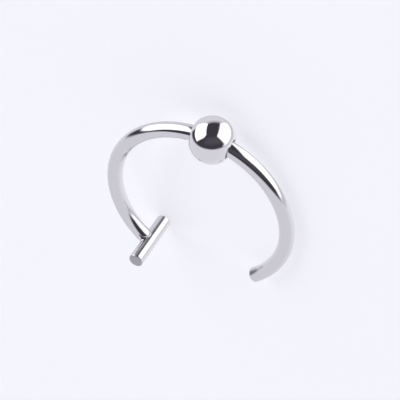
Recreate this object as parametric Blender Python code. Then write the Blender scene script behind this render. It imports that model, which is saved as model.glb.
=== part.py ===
"""Lip ring: an open hoop of polished steel wire, with a short cross bar soldered to one end and a ball on its front.

Run with: blender --background --python part.py
Metres, +Z up. The pieces are modelled round the hoop's centre, with the ball on +Y and the hoop's axis on +Z,
and are then laid down together on the three points that the ring rests on when it lies on its side.
"""

import math

import bmesh
import bpy
import numpy as np
from mathutils import Matrix, Vector

# Driving dimensions
WIRE_DIAMETER = 0.0010
HOOP_INNER_DIAMETER = 0.0110
BALL_DIAMETER = 0.0030
BALL_BORE_CLEARANCE = 0.00003
BALL_COUNTERSINK = 0.000245
BAR_DIAMETER = 0.00098
BAR_LENGTH = 0.0041
BAR_END_CHAMFER = 0.00007
PLAIN_END_CHAMFER = 0.00008
SOLDER_FILLET = 0.00016
# Both ends of the hoop, as angles round it from the ball
BAR_ANGLE = math.radians(151.3)
PLAIN_END_ANGLE = math.radians(130.8)

# How finely the round shapes are divided
WIRE_SIDES = 24
HOOP_STEP = math.radians(3.6)
BALL_MERIDIANS = 40
BALL_PARALLELS = 20
FILLET_STEPS = 4
BLEND_STEPS = 3

# Sizes that follow
WIRE_RADIUS = WIRE_DIAMETER / 2
HOOP_RADIUS = HOOP_INNER_DIAMETER / 2 + WIRE_RADIUS
BALL_RADIUS = BALL_DIAMETER / 2
BAR_RADIUS = BAR_DIAMETER / 2
SEAM_RISE = SOLDER_FILLET / 3

STEEL_COLOUR = (0.74, 0.73, 0.76, 1.0)


def clear_scene():
    for obj in list(bpy.data.objects):
        bpy.data.objects.remove(obj, do_unlink=True)


def new_collection(name):
    collection = bpy.data.collections.new(name)
    bpy.context.scene.collection.children.link(collection)
    return collection


def polished_steel(name, roughness):
    material = bpy.data.materials.new(name)
    material.use_nodes = True
    shader = material.node_tree.nodes["Principled BSDF"]
    shader.inputs["Base Color"].default_value = STEEL_COLOUR
    shader.inputs["Metallic"].default_value = 1.0
    shader.inputs["Roughness"].default_value = roughness
    return material


def object_from_bmesh(name, bm, collection):
    mesh = bpy.data.meshes.new(name)
    bm.to_mesh(mesh)
    bm.free()
    obj = bpy.data.objects.new(name, mesh)
    collection.objects.link(obj)
    return obj


def shade_round(obj):
    obj.data.shade_smooth()
    obj.data.set_sharp_from_angle(angle=math.radians(30))


def on_hoop(angle):
    """The point of the wire's centreline at this angle from the ball, positive towards the bar."""
    return Vector((-math.sin(angle), math.cos(angle), 0)) * HOOP_RADIUS


def along_hoop(angle):
    """The direction in which the angle grows there."""
    return Vector((-math.cos(angle), -math.sin(angle), 0))


def wire_tube(start, end, radius):
    """A closed tube along the hoop's centreline, with both ends square to it."""
    bm = bmesh.new()
    bmesh.ops.create_circle(bm, cap_ends=False, segments=WIRE_SIDES, radius=radius)
    upright = Matrix.Rotation(math.radians(90), 4, "Y")
    outwards = Matrix.Translation((0, HOOP_RADIUS, 0))
    bm.transform(Matrix.Rotation(start, 4, "Z") @ outwards @ upright)
    bmesh.ops.spin(
        bm,
        geom=[*bm.verts, *bm.edges],
        cent=(0, 0, 0),
        axis=(0, 0, 1),
        angle=end - start,
        steps=math.ceil((end - start) / HOOP_STEP),
        use_merge=False,
    )
    bmesh.ops.holes_fill(bm, edges=[edge for edge in bm.edges if edge.is_boundary], sides=0)
    bmesh.ops.recalc_face_normals(bm, faces=bm.faces)
    return bm


def end_face(bm, near):
    """The flat end of a tube that lies nearest to a point."""
    ends = [face for face in bm.faces if len(face.verts) == WIRE_SIDES]
    return min(ends, key=lambda face: (face.calc_center_median() - near).length)


def extruded(bm, face):
    """Extrudes one face on the spot and returns the new one."""
    return bmesh.ops.extrude_discrete_faces(bm, faces=[face])["faces"][0]


def chamfer_end(bm, face, outward, radius, chamfer):
    """Closes a round end with a short taper."""
    tip = extruded(bm, face)
    centre = tip.calc_center_median()
    for vert in tip.verts:
        vert.co = centre + (vert.co - centre) * (1 - chamfer / radius) + outward * chamfer


def flare_end(bm, face, outward, radius, depth):
    """Widens a round end at 45 degrees over this depth."""
    rim = extruded(bm, face)
    centre = rim.calc_center_median()
    for vert in rim.verts:
        vert.co = centre + (vert.co - centre) * (1 + depth / radius) + outward * depth


def bar_surface(rise_across):
    """How high the bar's surface stands over its axis, this far across it."""
    return math.sqrt(max(BAR_RADIUS**2 - rise_across**2, 0))


def seam_point(turn, reach, height):
    """A point of the soldered end: turn is the angle round the wire from the bar's direction, reach is how far
    it lies from the wire's centreline and height how far that is from the bar's axis, along the hoop."""
    angle = BAR_ANGLE - height / HOOP_RADIUS
    across = on_hoop(angle).normalized()
    return on_hoop(angle) + (Vector((0, 0, math.cos(turn))) + across * math.sin(turn)) * reach


def solder_to_bar(bm, face):
    """Runs the wire's end down to the bar and flares it into a concave fillet along the bar.

    The wire is as thick as the bar, so its sides meet the bar's sides and need no fillet there."""
    sideways = BAR_RADIUS**2 / (2 * HOOP_RADIUS)
    start = on_hoop(BAR_ANGLE - (BAR_RADIUS + SOLDER_FILLET + SEAM_RISE) / HOOP_RADIUS)
    across = start.normalized()
    turns = [math.atan2((v.co - start).dot(across), v.co.z) for v in face.verts]
    start_height = BAR_RADIUS + SOLDER_FILLET + SEAM_RISE

    def fillet(turn):
        return SOLDER_FILLET * math.cos(turn) ** 2

    def foot(turn, reach):
        return bar_surface(min(abs(reach * math.sin(turn)) + sideways, 0.98 * BAR_RADIUS))

    rings = []
    for step in range(1, BLEND_STEPS + 1):
        share = step / BLEND_STEPS
        rings.append([
            (WIRE_RADIUS, start_height + share * (foot(t, WIRE_RADIUS) + fillet(t) - start_height))
            for t in turns
        ])
    for step in range(1, FILLET_STEPS + 1):
        swing = math.pi / 2 * step / FILLET_STEPS
        ring = []
        for t in turns:
            reach = WIRE_RADIUS + fillet(t) * (1 - math.cos(swing))
            ring.append((reach, foot(t, reach) + fillet(t) * (1 - math.sin(swing))))
        rings.append(ring)
    rings.append([(0.8 * WIRE_RADIUS, BAR_RADIUS / 4)] * len(turns))
    for ring in rings:
        face = extruded(bm, face)
        for vert, turn, (reach, height) in zip(face.verts, turns, ring):
            vert.co = seam_point(turn, reach, height)


def make_hoop(collection, helpers):
    """The bent wire and the cross bar soldered to its end, which are one solid."""
    seam_angle = (BAR_RADIUS + SOLDER_FILLET + SEAM_RISE) / HOOP_RADIUS
    tip_angle = PLAIN_END_ANGLE - PLAIN_END_CHAMFER / HOOP_RADIUS
    bm = wire_tube(-tip_angle, BAR_ANGLE - seam_angle, WIRE_RADIUS)
    plain_end = end_face(bm, on_hoop(-tip_angle))
    chamfer_end(bm, plain_end, -along_hoop(-tip_angle), WIRE_RADIUS, PLAIN_END_CHAMFER)
    solder_to_bar(bm, end_face(bm, on_hoop(BAR_ANGLE)))
    hoop = object_from_bmesh("hoop", bm, collection)
    join = hoop.modifiers.new("soldered bar", "BOOLEAN")
    join.operation = "UNION"
    join.solver = "EXACT"
    join.object = make_bar(helpers)
    shade_round(hoop)
    hoop.data.materials.append(polished_steel("hoop_steel", 0.08))
    return hoop


def make_bar(helpers):
    """The straight cross bar, square to the hoop, with its ends chamfered."""
    bm = bmesh.new()
    bmesh.ops.create_cone(
        bm,
        cap_ends=True,
        cap_tris=False,
        segments=WIRE_SIDES,
        radius1=BAR_RADIUS,
        radius2=BAR_RADIUS,
        depth=BAR_LENGTH - 2 * BAR_END_CHAMFER,
    )
    for outward in (Vector((0, 0, 1)), Vector((0, 0, -1))):
        end = end_face(bm, outward * BAR_LENGTH / 2)
        chamfer_end(bm, end, outward, BAR_RADIUS, BAR_END_CHAMFER)
    bar = object_from_bmesh("cross_bar", bm, helpers)
    bar.location = on_hoop(BAR_ANGLE)
    bar.rotation_euler.z = BAR_ANGLE
    bar.display_type = "WIRE"
    bar.hide_render = True
    return bar


def make_ball(collection, helpers):
    """The ball, drilled along the wire's own bend, so that the wire fills its bore, and countersunk at both mouths."""
    bm = bmesh.new()
    bmesh.ops.create_uvsphere(
        bm, u_segments=BALL_MERIDIANS, v_segments=BALL_PARALLELS, radius=BALL_RADIUS
    )
    ball = object_from_bmesh("ball", bm, collection)
    ball.location = on_hoop(0)
    bore_radius = WIRE_RADIUS + BALL_BORE_CLEARANCE
    mouth_height = math.sqrt(BALL_RADIUS**2 - (bore_radius + BALL_COUNTERSINK) ** 2)
    reach = 2 * math.asin((mouth_height - BALL_COUNTERSINK) / (2 * HOOP_RADIUS))
    tube = wire_tube(-reach, reach, bore_radius)
    for side in (-1, 1):
        mouth = end_face(tube, on_hoop(side * reach))
        flare_end(tube, mouth, along_hoop(side * reach) * side, bore_radius, BALL_RADIUS)
    bore = object_from_bmesh("ball_bore", tube, helpers)
    bore.display_type = "WIRE"
    bore.hide_render = True
    drill = ball.modifiers.new("bore", "BOOLEAN")
    drill.operation = "DIFFERENCE"
    drill.solver = "EXACT"
    drill.object = bore
    shade_round(ball)
    ball.data.materials.append(polished_steel("ball_steel", 0.05))
    return ball


def points_and_centroid(pieces):
    """Every corner of the finished pieces, and the centroid of all that they enclose."""
    graph = bpy.context.evaluated_depsgraph_get()
    corners, weighted, volume = [], np.zeros(3), 0.0
    for piece in pieces:
        shown = piece.evaluated_get(graph)
        mesh = shown.to_mesh()
        mesh.calc_loop_triangles()
        points = np.array([shown.matrix_world @ v.co for v in mesh.vertices])
        a, b, c = (points[[t.vertices[i] for t in mesh.loop_triangles]] for i in range(3))
        wedges = np.einsum("ij,ij->i", a, np.cross(b, c)) / 6
        weighted += (wedges[:, None] * (a + b + c) / 4).sum(axis=0)
        volume += wedges.sum()
        corners.append(points)
        shown.to_mesh_clear()
    return np.concatenate(corners), Vector(weighted / volume)


def resting_up(corners, centroid):
    """The upward direction once the ring lies on its side: the facet of its convex hull that is under the
    centroid lies on the floor."""
    bm = bmesh.new()
    for corner in corners:
        bm.verts.new(corner)
    bmesh.ops.convex_hull(bm, input=bm.verts, use_existing_faces=False)
    bm.normal_update()
    best, most_inside = None, -math.inf
    for face in bm.faces:
        out = face.normal if face.normal.dot(face.calc_center_median() - centroid) > 0 else -face.normal
        if out.z > -0.5:
            continue
        foot = centroid + out * (face.verts[0].co - centroid).dot(out)
        inside = min(
            (foot - loop.vert.co).dot(edge_inward(loop, face)) for loop in face.loops
        )
        if inside > most_inside:
            best, most_inside = -out, inside
    up = best.copy()
    bm.free()
    return up


def edge_inward(loop, face):
    """The direction in the face that leads from this edge to the face's middle, square to the edge."""
    edge = (loop.link_loop_next.vert.co - loop.vert.co).normalized()
    inward = face.calc_center_median() - loop.vert.co
    return (inward - edge * inward.dot(edge)).normalized()


def lay_down(pieces, holder):
    """Turns and lifts the holder so that the ring lies on the floor, with the ball on the +Y side and the
    middle of its footprint over the origin."""
    corners, centroid = points_and_centroid(pieces)
    up = resting_up(corners, centroid)
    to_ball = on_hoop(0)
    to_ball = (to_ball - up * to_ball.dot(up)).normalized()
    turn = Matrix((to_ball.cross(up), to_ball, up))
    laid = corners @ np.array(turn).T
    low, high = laid.min(axis=0), laid.max(axis=0)
    middle = (low + high) / 2
    holder.matrix_world = Matrix.Translation((-middle[0], -middle[1], -low[2])) @ turn.to_4x4()


def main():
    clear_scene()
    ring = new_collection("lip_ring")
    helpers = new_collection("cutters")
    helpers.hide_render = True
    pieces = [make_hoop(ring, helpers), make_ball(ring, helpers)]
    bpy.context.view_layer.update()
    holder = bpy.data.objects.new("lip_ring_holder", None)
    ring.objects.link(holder)
    lay_down(pieces, holder)
    for obj in [*pieces, *helpers.objects]:
        obj.parent = holder
    bpy.context.view_layer.update()


main()
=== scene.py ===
import math

import bmesh
import bpy
from mathutils import Matrix, Vector


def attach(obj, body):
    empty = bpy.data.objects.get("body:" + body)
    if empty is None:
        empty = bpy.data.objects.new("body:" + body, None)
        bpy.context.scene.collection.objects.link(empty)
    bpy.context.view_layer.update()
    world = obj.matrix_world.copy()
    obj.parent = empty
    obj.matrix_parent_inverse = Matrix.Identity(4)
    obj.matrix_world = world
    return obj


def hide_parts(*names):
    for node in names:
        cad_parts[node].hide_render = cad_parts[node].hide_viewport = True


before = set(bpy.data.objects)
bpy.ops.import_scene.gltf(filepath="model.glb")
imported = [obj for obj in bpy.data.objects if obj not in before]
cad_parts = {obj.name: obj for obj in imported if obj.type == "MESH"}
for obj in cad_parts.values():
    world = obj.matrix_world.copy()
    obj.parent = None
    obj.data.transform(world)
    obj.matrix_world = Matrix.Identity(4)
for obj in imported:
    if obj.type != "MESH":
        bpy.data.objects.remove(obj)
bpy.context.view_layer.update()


# The wire: one length of 18 gauge surgical steel, bent to an open circle and tumbled to a mirror polish.
# It is drawn straight and wound on a mandrel, so the faint lines of the drawing die follow the bend.
# Its plain end is cut square and lightly rounded, and its other end is soldered to the cross bar.
WIRE_RADIUS = 0.0005
HOOP_RADIUS = 0.0060
PLAIN_END_ANGLE = math.radians(130.8)
PLAIN_END_ROUNDING = 0.00008
BAR_ANGLE = math.radians(151.3)
WIRE_SIDES = 64
WIRE_STEPS = 288
ROUNDING_STEPS = 5
# How the ring lies on its side, on the bar, the ball and the wire: the hoop's centre and its axis
HOOP_CENTRE = Vector((0, -0.0008679, 0.0015471))
HOOP_AXIS = Vector((0.1746487, 0.0077747, 0.9846001))

to_ball = Vector((0, HOOP_AXIS.z, -HOOP_AXIS.y)).normalized()
lying_turn = Matrix((to_ball.cross(HOOP_AXIS), to_ball, HOOP_AXIS)).transposed()
lying = Matrix.Translation(HOOP_CENTRE) @ lying_turn.to_4x4()


def on_hoop(angle):
    """The point of the wire's centreline at this angle from the ball, positive towards the bar."""
    return Vector((-math.sin(angle), math.cos(angle), 0)) * HOOP_RADIUS


def bend_wire(start, end):
    """A round tube along the hoop's circle, open at both ends."""
    bm = bmesh.new()
    bmesh.ops.create_circle(bm, cap_ends=False, segments=WIRE_SIDES, radius=WIRE_RADIUS)
    upright = Matrix.Rotation(math.radians(90), 4, "Y")
    outwards = Matrix.Translation((0, HOOP_RADIUS, 0))
    bm.transform(Matrix.Rotation(start, 4, "Z") @ outwards @ upright)
    bmesh.ops.spin(
        bm,
        geom=[*bm.verts, *bm.edges],
        cent=(0, 0, 0),
        axis=(0, 0, 1),
        angle=end - start,
        steps=WIRE_STEPS,
        use_merge=False,
    )
    return bm


def open_end(bm, near):
    """The edges of the open end that is nearest to a point."""
    edges = [e for e in bm.edges if e.is_boundary]
    nearest = min(edges, key=lambda e: (e.verts[0].co - near).length)
    loop, grown = {nearest}, {nearest}
    while grown:
        grown = {f for e in grown for v in e.verts for f in v.link_edges if f.is_boundary} - loop
        loop |= grown
    return [e for e in edges if e in loop]


def close_round_end(bm, edges, rounding):
    """Fills an open end and rolls its rim over."""
    bmesh.ops.holes_fill(bm, edges=edges, sides=0)
    bmesh.ops.bevel(
        bm,
        geom=edges,
        offset=rounding,
        affect="EDGES",
        offset_type="OFFSET",
        segments=ROUNDING_STEPS,
        profile=0.5,
        material=-1,
    )


# The cross bar: a short straight length of the same steel wire, which keeps the ring from slipping out of the lip.
# Its ends are cut square and rounded over, so that they can't scratch.
BAR_RADIUS = 0.00049
BAR_LENGTH = 0.0041
BAR_END_ROUNDING = 0.00007
BAR_STEPS = 48

bar = bmesh.new()
bmesh.ops.create_circle(bar, cap_ends=False, segments=WIRE_SIDES, radius=BAR_RADIUS)
bmesh.ops.translate(bar, verts=bar.verts, vec=(0, 0, -BAR_LENGTH / 2))
bmesh.ops.spin(
    bar,
    geom=[*bar.verts, *bar.edges],
    cent=(0, 0, 0),
    axis=(0, 0, 1),
    dvec=(0, 0, BAR_LENGTH / BAR_STEPS),
    angle=0,
    steps=BAR_STEPS,
    use_merge=False,
)
for height in (-BAR_LENGTH / 2, BAR_LENGTH / 2):
    close_round_end(bar, open_end(bar, Vector((BAR_RADIUS, 0, height))), BAR_END_ROUNDING)
bmesh.ops.recalc_face_normals(bar, faces=bar.faces)
bar.transform(Matrix.Translation(on_hoop(BAR_ANGLE)) @ Matrix.Rotation(BAR_ANGLE, 4, "Z"))
bar_mesh = bpy.data.meshes.new("bar_blank")
bar.to_mesh(bar_mesh)
bar.free()
bar_blank = bpy.data.objects.new("bar_blank", bar_mesh)
bpy.context.scene.collection.objects.link(bar_blank)


# The solder: a small concave fillet where the wire's end butts on the bar. It shows above and below the wire.
# At its two sides the wire's end was rounded over with a file first, which leaves a shallow groove at the bar.
FILLET = 0.00013
GROOVE = 0.00010
BLEND_RINGS = 12
FILLET_RINGS = 10
# The fillet's foot goes this far under the bar's surface, and this far to the side of the bar's axis at most
FOOT_SINK = 0.000006
FOOT_LIMIT = 0.98 * BAR_RADIUS
# The wire's closing ring, inside the bar: its radius and its height over the bar's axis
LAST_RING = (0.7 * WIRE_RADIUS, BAR_RADIUS / 4)

# The wire starts to change its shape at this height over the bar's axis, and bends aside by this much at the bar
seam_height = BAR_RADIUS + FILLET * 4 / 3
bend_aside = BAR_RADIUS**2 / (2 * HOOP_RADIUS)


def bar_surface(aside):
    """How high the bar's surface stands over its axis, this far to the side of it."""
    return math.sqrt(max(BAR_RADIUS**2 - aside**2, 0))


def fillet_at(turn):
    """The fillet's radius at this turn round the wire, measured from the bar's direction."""
    return FILLET * math.cos(turn) ** 2


def foot_at(turn, reach):
    """How high over the bar's axis the metal under a point of the fillet is."""
    return bar_surface(min(abs(reach * math.sin(turn)) + bend_aside, FOOT_LIMIT))


def wire_at(turn, share):
    """The wire's radius at this turn, this share of the way down to the bar."""
    return WIRE_RADIUS - GROOVE * math.sin(turn) ** 2 * share**2


def seam_rings(turns):
    """One ring of (reach from the wire's centreline, height over the bar's axis) for each step to the bar."""
    for step in range(1, BLEND_RINGS + 1):
        share = step / BLEND_RINGS
        yield [
            (wire_at(t, share), seam_height + share * (foot_at(t, wire_at(t, 1)) + fillet_at(t) - seam_height))
            for t in turns
        ]
    for step in range(1, FILLET_RINGS + 1):
        swing = math.pi / 2 * step / FILLET_RINGS
        ring = []
        for t in turns:
            reach = wire_at(t, 1) + fillet_at(t) * (1 - math.cos(swing))
            sunk = FOOT_SINK * step / FILLET_RINGS
            ring.append((reach, foot_at(t, reach) + fillet_at(t) * (1 - math.sin(swing)) - sunk))
        yield ring
    yield [LAST_RING] * len(turns)


wire = bend_wire(-PLAIN_END_ANGLE, BAR_ANGLE - seam_height / HOOP_RADIUS)
close_round_end(wire, open_end(wire, on_hoop(-PLAIN_END_ANGLE)), PLAIN_END_ROUNDING)
bmesh.ops.holes_fill(wire, edges=open_end(wire, on_hoop(BAR_ANGLE)), sides=0)
butt = min(
    (f for f in wire.faces if len(f.verts) == WIRE_SIDES),
    key=lambda f: (f.calc_center_median() - on_hoop(BAR_ANGLE)).length,
)
seam_start = on_hoop(BAR_ANGLE - seam_height / HOOP_RADIUS)
turns = [math.atan2((v.co - seam_start).dot(seam_start.normalized()), v.co.z) for v in butt.verts]
for ring in seam_rings(turns):
    butt = bmesh.ops.extrude_discrete_faces(wire, faces=[butt])["faces"][0]
    for vert, turn, (reach, height) in zip(butt.verts, turns, ring):
        centre = on_hoop(BAR_ANGLE - height / HOOP_RADIUS)
        vert.co = centre + (Vector((0, 0, math.cos(turn))) + centre.normalized() * math.sin(turn)) * reach
bmesh.ops.recalc_face_normals(wire, faces=wire.faces)

hoop_mesh = bpy.data.meshes.new("wire_hoop")
wire.to_mesh(hoop_mesh)
wire.free()
hoop = bpy.data.objects.new("wire_hoop", hoop_mesh)
bpy.context.scene.collection.objects.link(hoop)
soldered = hoop.modifiers.new("soldered bar", "BOOLEAN")
soldered.operation = "UNION"
soldered.solver = "EXACT"
soldered.object = bar_blank
graph = bpy.context.evaluated_depsgraph_get()
joined = bpy.data.meshes.new_from_object(hoop.evaluated_get(graph))
hoop.modifiers.clear()
hoop.data = joined
joined.name = "wire_hoop"
bpy.data.objects.remove(bar_blank)
joined.shade_smooth()
joined.transform(lying)


# The finish of all the steel: tumbled and buffed until it mirrors the room. What is left of the work are
# faint lines along the wire, hairline scratches from handling, and finger marks that dull the mirror a little.
STEEL_EDGE_TINT = (0.90, 0.90, 0.91, 1)
FINGER_MARK_SCALE = 900
FINE_SCALE = 9000
# How a fine noise is drawn out into lines: scratches three ways, and the lines of the drawing die
SCRATCH_STRETCHES = ((22000, 1800, 2600), (1900, 21000, 2400), (2500, 2100, 20000))
DRAWN_LINE_STRETCH = (500, 26000, 26000)
# The noise values where a mark begins and where it is full, and how far the fine noise sways the roughness
FINGER_MARK_LEVELS = (0.45, 0.75)
SCRATCH_LEVELS = (0.68, 0.74)
FINE_LEVELS = (0.3, 0.7)
FINE_SWAY = (0.75, 1.25)
SCRATCH_DEPTH = 0.0000006


def new_group(name, inputs, outputs):
    """An empty node group with these sockets, and its input and output nodes."""
    group = bpy.data.node_groups.new(name, "ShaderNodeTree")
    for way, sockets in (("INPUT", inputs), ("OUTPUT", outputs)):
        for label, kind in sockets:
            group.interface.new_socket(label, in_out=way, socket_type=kind)
    return group, group.nodes.new("NodeGroupInput"), group.nodes.new("NodeGroupOutput")


def noise(tree, vector, scale, detail, distortion=0.0):
    """A soft random value from 0 to 1 at each place."""
    node = tree.nodes.new("ShaderNodeTexNoise")
    node.inputs["Scale"].default_value = scale
    node.inputs["Detail"].default_value = detail
    node.inputs["Distortion"].default_value = distortion
    tree.links.new(vector, node.inputs["Vector"])
    return node.outputs["Fac"]


def stretched(tree, vector, scale):
    """A position, multiplied by a scale for each axis."""
    node = tree.nodes.new("ShaderNodeVectorMath")
    node.operation = "MULTIPLY"
    node.inputs[1].default_value = scale
    tree.links.new(vector, node.inputs[0])
    return node.outputs["Vector"]


def ranged(tree, value, low, high, to_low, to_high):
    """A value moved smoothly from one range to another, and held at its ends."""
    node = tree.nodes.new("ShaderNodeMapRange")
    node.interpolation_type = "SMOOTHSTEP"
    for socket, number in zip(("From Min", "From Max", "To Min", "To Max"), (low, high, to_low, to_high)):
        node.inputs[socket].default_value = number
    tree.links.new(value, node.inputs["Value"])
    return node.outputs["Result"]


def combined(tree, operation, first, second):
    """A sum, product or the like of two values, each a socket or a number."""
    node = tree.nodes.new("ShaderNodeMath")
    node.operation = operation
    for socket, value in zip(node.inputs, (first, second)):
        if isinstance(value, (int, float)):
            socket.default_value = value
        else:
            tree.links.new(value, socket)
    return node.outputs["Value"]


def painted(tree, under, mask, colour):
    """One colour over another where the mask is."""
    node = tree.nodes.new("ShaderNodeMix")
    node.data_type = "RGBA"
    tree.links.new(mask, node.inputs["Factor"])
    for socket, value in ((node.inputs[6], under), (node.inputs[7], colour)):
        if isinstance(value, tuple):
            socket.default_value = value
        else:
            tree.links.new(value, socket)
    return node.outputs[2]


def bumped(tree, height, depth, strength, below=None):
    """A normal that follows a height this deep in metres, over another bump if one is given."""
    node = tree.nodes.new("ShaderNodeBump")
    node.inputs["Distance"].default_value = depth
    node.inputs["Strength"].default_value = strength
    tree.links.new(height, node.inputs["Height"])
    if below is not None:
        tree.links.new(below, node.inputs["Normal"])
    return node.outputs["Normal"]


def make_handling():
    """Finger marks and hairline scratches: a roughness to use, and a height for the scratches."""
    group, given, result = new_group(
        "steel_handling",
        [("Vector", "NodeSocketVector"), ("Polish", "NodeSocketFloat"), ("Smear", "NodeSocketFloat")],
        [("Roughness", "NodeSocketFloat"), ("Scratches", "NodeSocketFloat")],
    )
    where = given.outputs["Vector"]
    finger_marks = noise(group, where, FINGER_MARK_SCALE, detail=5, distortion=0.6)
    finger_marks = ranged(group, finger_marks, *FINGER_MARK_LEVELS, 0, 1)
    fine = ranged(group, noise(group, where, FINE_SCALE, detail=2), *FINE_LEVELS, *FINE_SWAY)
    scratches = None
    for stretch in SCRATCH_STRETCHES:
        line = noise(group, stretched(group, where, stretch), 1, detail=1)
        line = ranged(group, line, *SCRATCH_LEVELS, 0, 1)
        scratches = line if scratches is None else combined(group, "MAXIMUM", scratches, line)
    smeared = combined(group, "MULTIPLY", finger_marks, given.outputs["Smear"])
    rough = combined(group, "MULTIPLY", combined(group, "ADD", given.outputs["Polish"], smeared), fine)
    group.links.new(rough, result.inputs["Roughness"])
    group.links.new(scratches, result.inputs["Scratches"])
    return group


def make_drawn_lines():
    """Lines that follow the wire's bend, and a position measured along and across the wire."""
    group, given, result = new_group(
        "steel_drawn_lines",
        [("Vector", "NodeSocketVector")],
        [("Along", "NodeSocketVector"), ("Lines", "NodeSocketFloat")],
    )
    apart = group.nodes.new("ShaderNodeSeparateXYZ")
    group.links.new(given.outputs["Vector"], apart.inputs["Vector"])
    x, y, z = (apart.outputs[axis] for axis in "XYZ")
    squares = [combined(group, "POWER", side, 2) for side in (x, y)]
    out = combined(group, "SQRT", combined(group, "ADD", *squares), 0)
    along = combined(group, "MULTIPLY", combined(group, "ARCTAN2", x, y), HOOP_RADIUS)
    together = group.nodes.new("ShaderNodeCombineXYZ")
    group.links.new(along, together.inputs["X"])
    group.links.new(combined(group, "SUBTRACT", out, HOOP_RADIUS), together.inputs["Y"])
    group.links.new(z, together.inputs["Z"])
    lines = noise(group, stretched(group, together.outputs["Vector"], DRAWN_LINE_STRETCH), 1, detail=2)
    group.links.new(together.outputs["Vector"], result.inputs["Along"])
    group.links.new(lines, result.inputs["Lines"])
    return group


def use_group(tree, group, **values):
    """A node group placed in a material with its own values, each a socket or a number."""
    node = tree.nodes.new("ShaderNodeGroup")
    node.node_tree = group
    for label, value in values.items():
        if isinstance(value, (int, float)):
            node.inputs[label].default_value = value
        else:
            tree.links.new(value, node.inputs[label])
    return node.outputs


def new_steel(name, colour):
    """A bare metal material: its tree, its shader and the position in the hoop's own frame."""
    material = bpy.data.materials.new(name)
    material.use_nodes = True
    tree = material.node_tree
    shader = tree.nodes["Principled BSDF"]
    shader.inputs["Metallic"].default_value = 1.0
    shader.inputs["Base Color"].default_value = colour
    shader.inputs["Specular Tint"].default_value = STEEL_EDGE_TINT
    place = tree.nodes.new("ShaderNodeTexCoord")
    standing = tree.nodes.new("ShaderNodeMapping")
    standing.vector_type = "TEXTURE"
    standing.inputs["Location"].default_value = HOOP_CENTRE
    standing.inputs["Rotation"].default_value = lying_turn.to_euler()
    tree.links.new(place.outputs["Object"], standing.inputs["Vector"])
    return material, tree, shader, standing.outputs["Vector"]


handling = make_handling()
drawn_lines = make_drawn_lines()


# The finish of the hoop: the bar was polished by hand after soldering, so it is a little duller than the wire,
# with its own lines along its length. The three cut faces keep the dull grain of the saw, and their darker grey
# is painted shade: the contact shadow that the ends of a standing ring would mirror. The wire's last
# millimetre is dulled by deburring.
WIRE_COLOUR = (0.735, 0.725, 0.755, 1)
# Painted shade: the cut faces' darker grey stands in for the contact shadow they would mirror
CUT_FACE_PAINTED_SHADE = (0.47, 0.465, 0.49, 1)
WIRE_POLISH = 0.06
WIRE_SMEAR = 0.05
HOOP_RELIEF = 0.5
# What each place adds to the roughness, and how much of a sawn face and its painted shade the wire's end keeps
BAR_DULLING = 0.15
CUT_DULLING = 0.20
DEBURRED_DULLING = 0.14
WIRE_CUT_SHARE = 0.6
BAR_LINE_STRETCH = (26000, 26000, 500)
SAW_GRAIN_STRETCH = (30000, 9000, 30000)
DRAWN_LINE_DEPTH = 0.0000004
SAW_GRAIN_DEPTH = 0.000003
# Where one finish goes over into the next: outside the bar's surface, and before the bar's and the wire's ends
BAR_FINISH_EDGE = (0.00001, 0.00005)
BAR_CUT_EDGE = 0.00002
WIRE_CUT_EDGE = (0.00003, 0.00001)
DEBURRED_EDGE = (0.0014, 0.0004)

wire_steel, tree, shader, place = new_steel("wire_steel", WIRE_COLOUR)
lines = use_group(tree, drawn_lines, Vector=place)
marks = use_group(tree, handling, Vector=place, Polish=WIRE_POLISH, Smear=WIRE_SMEAR)

from_bar = tree.nodes.new("ShaderNodeVectorMath")
from_bar.operation = "DISTANCE"
from_bar.inputs[1].default_value = on_hoop(BAR_ANGLE)
tree.links.new(stretched(tree, place, (1, 1, 0)), from_bar.inputs[0])
on_bar = ranged(tree, from_bar.outputs["Value"], *(BAR_RADIUS + edge for edge in BAR_FINISH_EDGE), 1, 0)
off_bar = combined(tree, "SUBTRACT", 1, on_bar)
apart = tree.nodes.new("ShaderNodeSeparateXYZ")
tree.links.new(place, apart.inputs["Vector"])
along = tree.nodes.new("ShaderNodeSeparateXYZ")
tree.links.new(lines["Along"], along.inputs["Vector"])
half_bar, last = BAR_LENGTH / 2, PLAIN_END_ANGLE * HOOP_RADIUS
bar_cut = ranged(tree, combined(tree, "ABSOLUTE", apart.outputs["Z"], 0), half_bar - BAR_CUT_EDGE, half_bar, 0, 1)
wire_cut = ranged(tree, along.outputs["X"], *(last - edge for edge in WIRE_CUT_EDGE), 0, 1)
sawn_and_shaded = combined(tree, "MAXIMUM", bar_cut, combined(tree, "MULTIPLY", wire_cut, WIRE_CUT_SHARE))
# Painted shade: the cut faces are coloured a darker grey, for the contact shadow that they would mirror
tree.links.new(painted(tree, WIRE_COLOUR, sawn_and_shaded, CUT_FACE_PAINTED_SHADE), shader.inputs["Base Color"])

deburred = ranged(tree, along.outputs["X"], *(last - edge for edge in DEBURRED_EDGE), 0, DEBURRED_DULLING)
bar_dulled = combined(tree, "MULTIPLY", on_bar, BAR_DULLING)
cut_dulled = combined(tree, "MULTIPLY", sawn_and_shaded, CUT_DULLING)
duller = combined(tree, "ADD", combined(tree, "ADD", bar_dulled, cut_dulled), deburred)
tree.links.new(combined(tree, "ADD", marks["Roughness"], duller), shader.inputs["Roughness"])

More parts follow.
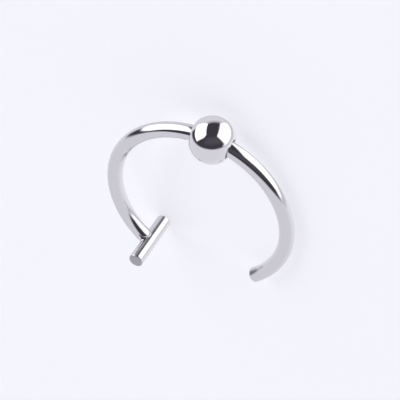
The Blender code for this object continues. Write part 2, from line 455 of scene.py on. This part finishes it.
bar_lines = noise(tree, stretched(tree, place, BAR_LINE_STRETCH), 1, detail=2)
grain = noise(tree, stretched(tree, place, SAW_GRAIN_STRETCH), 1, detail=3)
wire_drawn = combined(tree, "MULTIPLY", lines["Lines"], off_bar)
bar_drawn = combined(tree, "MULTIPLY", bar_lines, on_bar)
relief = bumped(tree, combined(tree, "ADD", wire_drawn, bar_drawn), DRAWN_LINE_DEPTH, HOOP_RELIEF)
relief = bumped(tree, combined(tree, "MULTIPLY", grain, sawn_and_shaded), SAW_GRAIN_DEPTH, HOOP_RELIEF, relief)
relief = bumped(tree, marks["Scratches"], SCRATCH_DEPTH, HOOP_RELIEF, relief)
tree.links.new(relief, shader.inputs["Normal"])
joined.materials.clear()
joined.materials.append(wire_steel)
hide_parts("hoop")
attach(hoop, "root")


# The ball: a solid steel bead, drilled through, pushed along the wire to the front of the hoop and fixed there.
# The drill followed the wire's bend, so each end of the hole leans a little, and its mouth is rounded over.
BALL_RADIUS = 0.0015
BORE_RADIUS = 0.00055
MOUTH_ROUNDING = 0.00024
BALL_MERIDIANS = 128
BALL_ARC_STEPS = 72
MOUTH_STEPS = 16
BORE_STEPS = 8
# Each half's outline starts this far from the hole's axis, past the middle, where the half is then cut and joined
OUTLINE_START = math.radians(105)
JOIN_DISTANCE = 1e-7
DOUBLES_DISTANCE = 1e-8
CREASE_ANGLE = math.radians(30)

# Half of the outline, from beyond the middle to the hole's mouth and into it, turned round the hole's own axis
mouth_angle = math.asin((BORE_RADIUS + MOUTH_ROUNDING) / (BALL_RADIUS - MOUTH_ROUNDING))
mouth_height = (BALL_RADIUS - MOUTH_ROUNDING) * math.cos(mouth_angle)
hole_lean = math.asin(mouth_height / (2 * HOOP_RADIUS))
half = bmesh.new()
outline = []
for step in range(BALL_ARC_STEPS + 1):
    angle = OUTLINE_START + (mouth_angle - OUTLINE_START) * step / BALL_ARC_STEPS
    outline.append((BALL_RADIUS * math.sin(angle), BALL_RADIUS * math.cos(angle)))
for step in range(1, MOUTH_STEPS + 1):
    angle = mouth_angle - (mouth_angle + math.pi / 2) * step / MOUTH_STEPS
    out = BORE_RADIUS + MOUTH_ROUNDING * (1 + math.sin(angle))
    outline.append((out, mouth_height + MOUTH_ROUNDING * math.cos(angle)))
corners = [half.verts.new((out, 0, up)) for out, up in outline]
for first, second in zip(corners, corners[1:]):
    half.edges.new((first, second))
bmesh.ops.spin(
    half,
    geom=[*half.verts, *half.edges],
    cent=(0, 0, 0),
    axis=(0, 0, 1),
    angle=math.tau,
    steps=BALL_MERIDIANS,
    use_merge=True,
)
lean = Matrix.Rotation(hole_lean, 4, "Z") @ Matrix.Rotation(math.radians(-90), 4, "Y")
half.transform(Matrix.Translation(on_hoop(0)) @ lean)

# The hole's wall goes on from the mouth along the wire's bend, to the ball's middle and one step past it
ball_reach = 2 * math.asin(BALL_RADIUS / (2 * HOOP_RADIUS))
deeper_turn = Matrix.Rotation(-ball_reach / BORE_STEPS, 3, "Z")
mouth = open_end(half, on_hoop(ball_reach))
for step in range(BORE_STEPS + 1):
    deeper = bmesh.ops.extrude_edge_only(half, edges=mouth)["geom"]
    mouth = [e for e in deeper if isinstance(e, bmesh.types.BMEdge)]
    verts = [v for v in deeper if isinstance(v, bmesh.types.BMVert)]
    bmesh.ops.rotate(half, verts=verts, cent=(0, 0, 0), matrix=deeper_turn)
bmesh.ops.bisect_plane(
    half,
    geom=[*half.verts, *half.edges, *half.faces],
    plane_co=(0, 0, 0),
    plane_no=(-1, 0, 0),
    clear_inner=True,
)
bmesh.ops.mirror(half, geom=[*half.verts, *half.edges, *half.faces], axis="X", merge_dist=JOIN_DISTANCE)
bmesh.ops.remove_doubles(half, verts=half.verts, dist=DOUBLES_DISTANCE)
bmesh.ops.recalc_face_normals(half, faces=half.faces)
half.transform(lying)
ball_mesh = bpy.data.meshes.new("ball_bead")
half.to_mesh(ball_mesh)
half.free()
ball_mesh.shade_smooth()
ball_mesh.set_sharp_from_angle(angle=CREASE_ANGLE)
ball = bpy.data.objects.new("ball_bead", ball_mesh)
bpy.context.scene.collection.objects.link(ball)

# Buffing doesn't reach the holes, so their walls and mouths keep the matt surface that the drill left.
# Their near black colour is painted shade: the shadow in the gap between the wire and the mouth of the hole.
BALL_COLOUR = (0.80, 0.785, 0.82, 1)
# Painted shade: near black for the shadow in the hole's gap round the wire
DRILLED_PAINTED_SHADE = (0.16, 0.155, 0.17, 1)
BALL_POLISH = 0.035
BALL_SMEAR = 0.04
BALL_RELIEF = 0.4
DRILLED_DULLING = 0.35
DRILLED_EDGE = (0.00008, 0.00014)

ball_steel, tree, shader, place = new_steel("ball_steel", BALL_COLOUR)
marks = use_group(tree, handling, Vector=place, Polish=BALL_POLISH, Smear=BALL_SMEAR)
lines = use_group(tree, drawn_lines, Vector=place)
from_wire = tree.nodes.new("ShaderNodeVectorMath")
from_wire.operation = "LENGTH"
tree.links.new(stretched(tree, lines["Along"], (0, 1, 1)), from_wire.inputs[0])
drilled_and_shaded = ranged(tree, from_wire.outputs["Value"], *(BORE_RADIUS + edge for edge in DRILLED_EDGE), 1, 0)
# Painted shade: the hole's wall and mouth are coloured near black, for the shadow in the gap round the wire
tree.links.new(painted(tree, BALL_COLOUR, drilled_and_shaded, DRILLED_PAINTED_SHADE), shader.inputs["Base Color"])
matt = combined(tree, "ADD", marks["Roughness"], combined(tree, "MULTIPLY", drilled_and_shaded, DRILLED_DULLING))
tree.links.new(matt, shader.inputs["Roughness"])
tree.links.new(bumped(tree, marks["Scratches"], SCRATCH_DEPTH, BALL_RELIEF), shader.inputs["Normal"])
ball_mesh.materials.append(ball_steel)
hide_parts("ball")
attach(ball, "root")


# The camera: a long lens at the photograph's angle to the ring. Its place and turn are given in the hoop's own
# frame, where +Y leads to the ball and +Z is the hoop's axis.
CAMERA_PLACE = Vector((3.024, 11.127, 9.596)) * HOOP_RADIUS
CAMERA_RIGHT = Vector((0.8910, 0.1329, -0.4341))
CAMERA_UP = Vector((-0.4062, 0.6605, -0.6315))
CAMERA_LENS = 128.65
CAMERA_SENSOR = 36
CAMERA_NEAR = 0.005
CAMERA_FAR = 5

camera_back = CAMERA_RIGHT.cross(CAMERA_UP).normalized()
camera_up = camera_back.cross(CAMERA_RIGHT).normalized()
camera_right = camera_up.cross(camera_back)
camera_turn = lying_turn @ Matrix((camera_right, camera_up, camera_back)).transposed()
camera_data = bpy.data.cameras.new("camera")
camera_data.lens = CAMERA_LENS
camera_data.sensor_width = CAMERA_SENSOR
camera_data.clip_start = CAMERA_NEAR
camera_data.clip_end = CAMERA_FAR
camera = bpy.data.objects.new("camera", camera_data)
bpy.context.scene.collection.objects.link(camera)
camera.matrix_world = Matrix.Translation(lying @ CAMERA_PLACE) @ camera_turn.to_4x4()
bpy.context.scene.camera = camera


# The floor: a sheet of matt white acrylic, lit a little from below, so that shadows on it stay soft and faint.
# The steel doesn't mirror it, because the light tent has the table that belongs under a standing ring.
FLOOR_HALF = 0.5
ACRYLIC_COLOUR = (0.62, 0.623, 0.654, 1)
ACRYLIC_GLOW = (0.90, 0.905, 0.95, 1)
ACRYLIC_GLOW_STRENGTH = 0.592

sheet = bmesh.new()
bmesh.ops.create_grid(sheet, x_segments=1, y_segments=1, size=FLOOR_HALF)
floor_mesh = bpy.data.meshes.new("floor")
sheet.to_mesh(floor_mesh)
sheet.free()
floor = bpy.data.objects.new("floor", floor_mesh)
bpy.context.scene.collection.objects.link(floor)
acrylic = bpy.data.materials.new("white_acrylic")
acrylic.use_nodes = True
shader = acrylic.node_tree.nodes["Principled BSDF"]
shader.inputs["Base Color"].default_value = ACRYLIC_COLOUR
shader.inputs["Roughness"].default_value = 1.0
shader.inputs["Specular IOR Level"].default_value = 0.0
shader.inputs["Emission Color"].default_value = ACRYLIC_GLOW
shader.inputs["Emission Strength"].default_value = ACRYLIC_GLOW_STRENGTH
floor_mesh.materials.append(acrylic)
floor.visible_glossy = False


# The light: a tent with a soft box on either side, a low grey card under the right one, and a pale table and
# backdrop. It is dark overhead and towards the camera, with a faint wall there. Its up is the way the ring points
# when it stands, so the lying steel mirrors what it would mirror in a picture of a standing ring.
ROOM_UP = Vector((-0.192, 0.981, 0))
DARK_ROOM = (0.056, 0.050, 0.062, 1)
ROOM_WALL = (0.092, 0.084, 0.100, 1)
TABLE_TOP = (0.805, 0.80, 0.85, 1)
TABLE_LIT = (1.03, 1.025, 1.07, 1)
BACKDROP = (0.81, 0.805, 0.84, 1)
LOW_CARD = (0.70, 0.69, 0.725, 1)
WHITE_BOX = (1.65, 1.65, 1.68, 1)
# The table fades out from the first to the second height of a look into the room, and it is lit more ahead and
# to the right, over this range
TABLE_EDGE = (-0.16, 0.01)
LIT_AHEAD = 0.82
LIT_RIGHT = 0.57
LIT_RANGE = (-0.5, 0.95)
# A panel's edge keeps what is over a limit. It has the share of the distance along the panel, the share of the
# height, the limit of their sum and how soft the edge is.
PANEL_FADE = 0.02
WALL_EDGES = ((1, 0, -0.9, 0.6), (-1, 0, -0.9, 0.6), (0, 1, 0.35, 0.25), (0, -1, -1.3, 0.5))
BACKDROP_EDGES = ((1, 0, -1.25, 0.15), (0, 1, -0.25, 0.1), (-0.35, -1, -1.15, 0.55))
LEFT_BOX_EDGES = (
    (1, 0.55, -0.13, 0.08),
    (1, 0, -0.70, 0.08),
    (-1, 0.4, -1.05, 0.15),
    (-0.22, 1, 0.16, 0.06),
    (0.6, -1, -2.2, 0.2),
)
LOW_CARD_EDGES = ((1, 0, -1.05, 0.25), (0, 1, -0.2, 0.1), (0, -1, -0.12, 0.07))
RIGHT_BOX_EDGES = ((1, 0.35, -0.70, 0.2), (-1, 0, -1.28, 0.15), (-0.12, 1, 0.05, 0.06), (-0.3, -1, -1.75, 0.3))

room_up = (lying_turn @ ROOM_UP).normalized()
room_front = -(camera_turn.col[2].copy())
room_front = (room_front - room_up * room_front.dot(room_up)).normalized()
room_right = room_front.cross(room_up)

world = bpy.data.worlds.new("light_tent")
bpy.context.scene.world = world
world.use_nodes = True
tree = world.node_tree
background = tree.nodes["Background"]
looked = tree.nodes.new("ShaderNodeTexCoord")


def towards(direction):
    """How far a look into the room goes in this direction, from -1 to 1."""
    node = tree.nodes.new("ShaderNodeVectorMath")
    node.operation = "DOT_PRODUCT"
    node.inputs[1].default_value = direction
    tree.links.new(looked.outputs["Generated"], node.inputs[0])
    return node.outputs["Value"]


across, ahead, upwards = towards(room_right), towards(room_front), towards(room_up)
left = combined(tree, "MULTIPLY", across, -1)
behind = combined(tree, "MULTIPLY", ahead, -1)


def panel(side, level, edges):
    """A mask for an upright panel one unit away on this side of the ring, measured along its level direction."""
    spread, rise = combined(tree, "DIVIDE", level, side), combined(tree, "DIVIDE", upwards, side)
    mask = ranged(tree, side, 0, PANEL_FADE, 0, 1)
    for level_share, height_share, limit, soft in edges:
        level_part = combined(tree, "MULTIPLY", spread, level_share)
        height_part = combined(tree, "MULTIPLY", rise, height_share)
        slanted = combined(tree, "ADD", level_part, height_part)
        mask = combined(tree, "MULTIPLY", mask, ranged(tree, slanted, limit - soft, limit + soft, 0, 1))
    return mask


lit = ranged(tree, towards(room_front * LIT_AHEAD + room_right * LIT_RIGHT), *LIT_RANGE, 0, 1)
table = painted(tree, TABLE_TOP, lit, TABLE_LIT)
tent = painted(tree, DARK_ROOM, panel(behind, across, WALL_EDGES), ROOM_WALL)
tent = painted(tree, tent, ranged(tree, upwards, *TABLE_EDGE, 1, 0), table)
tent = painted(tree, tent, panel(ahead, across, BACKDROP_EDGES), BACKDROP)
tent = painted(tree, tent, panel(left, ahead, LEFT_BOX_EDGES), WHITE_BOX)
tent = painted(tree, tent, panel(across, ahead, LOW_CARD_EDGES), LOW_CARD)
tent = painted(tree, tent, panel(across, ahead, RIGHT_BOX_EDGES), WHITE_BOX)
tree.links.new(tent, background.inputs["Color"])

# A weak light straight above, which lights the floor alone and draws a soft shadow on it
KEY_POWER = 0.05
KEY_SIZE = 0.2
KEY_HEIGHT = 0.3

key_data = bpy.data.lights.new("key", "AREA")
key_data.energy = KEY_POWER
key_data.size = KEY_SIZE
key = bpy.data.objects.new("key", key_data)
bpy.context.scene.collection.objects.link(key)
key.matrix_world = Matrix.Translation((0, 0, KEY_HEIGHT))
key.visible_glossy = False

bpy.context.scene.view_settings.view_transform = "Standard"
